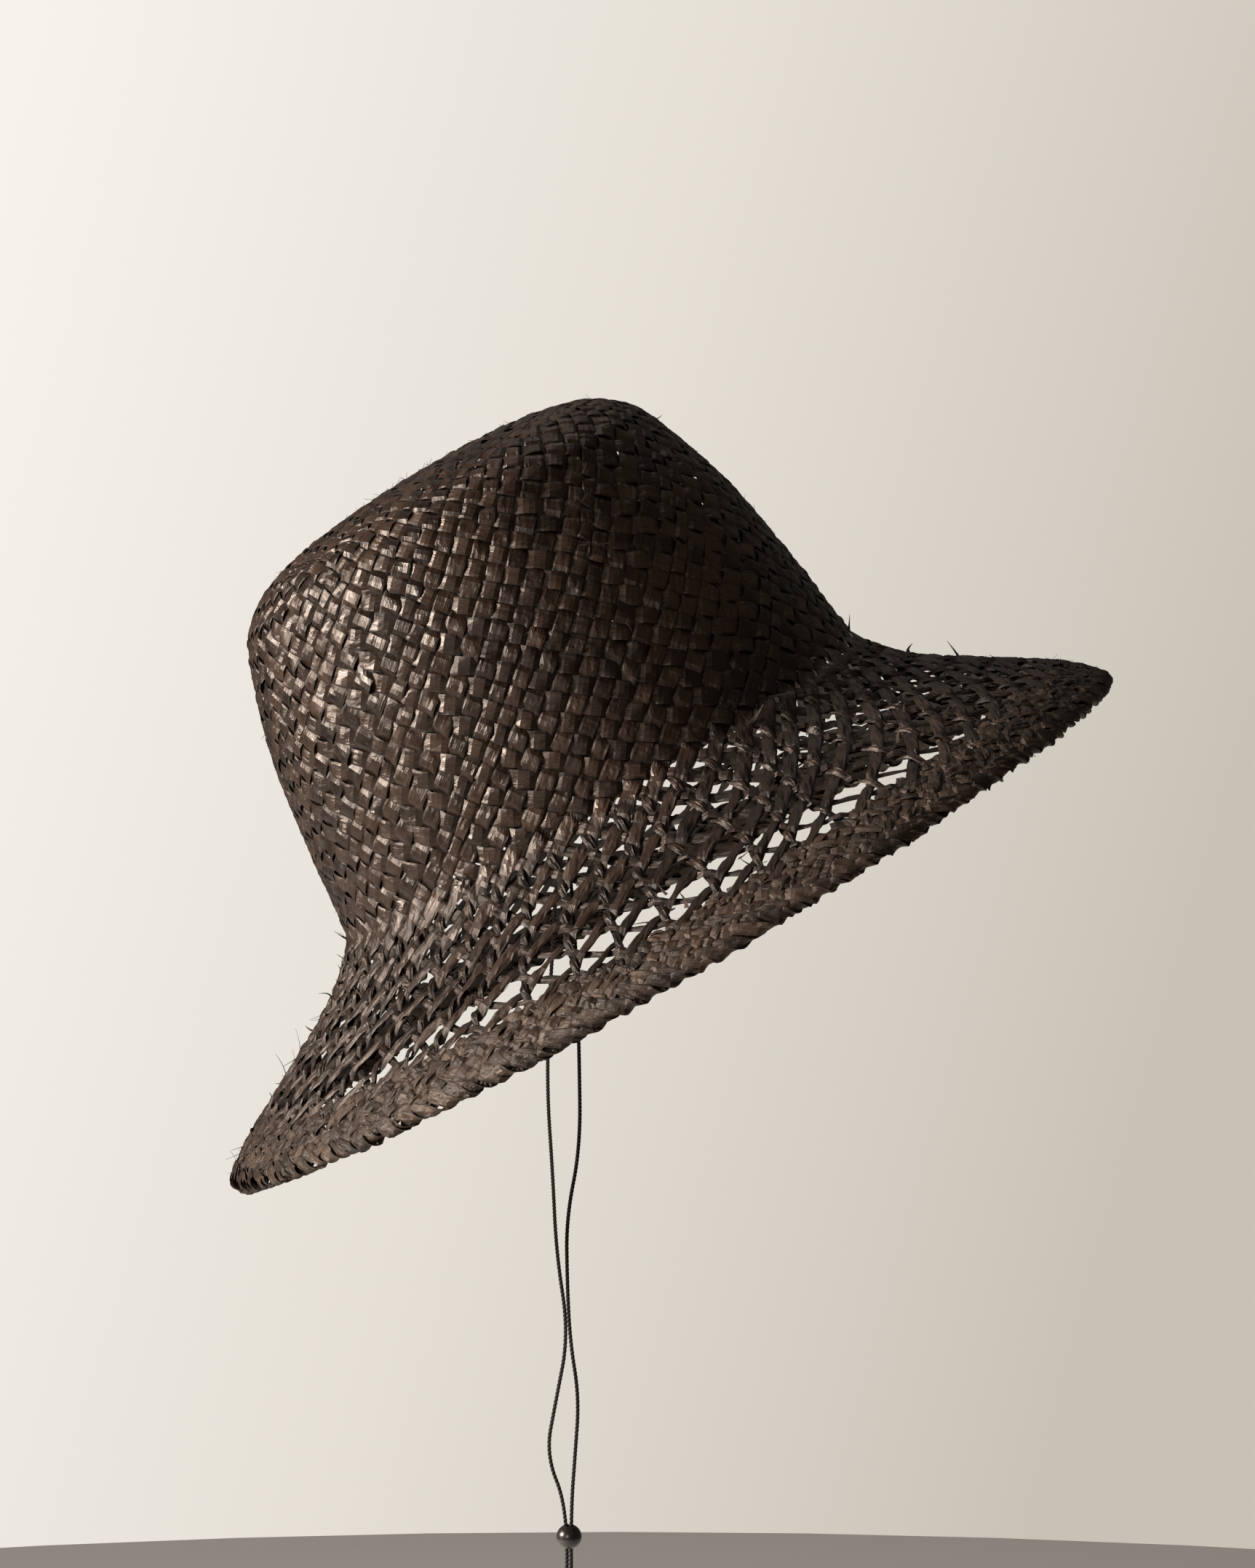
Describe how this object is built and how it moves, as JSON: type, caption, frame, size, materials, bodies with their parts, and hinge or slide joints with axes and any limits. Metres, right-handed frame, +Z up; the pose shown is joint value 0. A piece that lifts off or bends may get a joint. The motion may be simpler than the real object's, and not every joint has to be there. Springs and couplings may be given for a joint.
{
  "type": "plaited sun hat",
  "caption": "Bucket-shaped sun hat plaited from dark flat strips, with a flared open-work brim and a hanging chin cord with a slider bead.",
  "frame": {"origin": "centre of the head opening, where crown and brim meet", "axes": "+Z up; the hat's own axis leans 31 degrees from +Z towards -X, its front and low side, so that the chin cord hangs along -Z; +Y is the wearer's right"},
  "size_m": [0.3036, 0.3178, 0.4384],
  "materials": {
    "strip": "satin",
    "ribbon": "matt ribbed",
    "thread": "matt",
    "braid": "satin braid",
    "bead_wood": "polished"
  },
  "bodies": {
    "hat": {"crown_weave": "strip", "brim_openwork": "strip", "brim_band": "strip", "rim_fold": "strip", "sweatband": "ribbon", "sweatband_join": "ribbon", "sweatband_stitches": "thread", "cord_tab_left": "ribbon", "cord_tab_right": "ribbon", "tab_stitches_left": "thread", "tab_stitches_right": "thread", "anchor_knot_left": "braid", "anchor_knot_right": "braid", "chin_cord_left": "braid", "chin_cord_right": "braid", "end_knot": "braid"},
    "slider": {"slider_bead": "bead_wood"}
  },
  "joints": [
    {"name": "bead_slide", "type": "slide", "parent": "hat", "child": "slider", "axis": [0, 0, -1], "range_m": [-0.001, 0.016]}
  ]
}
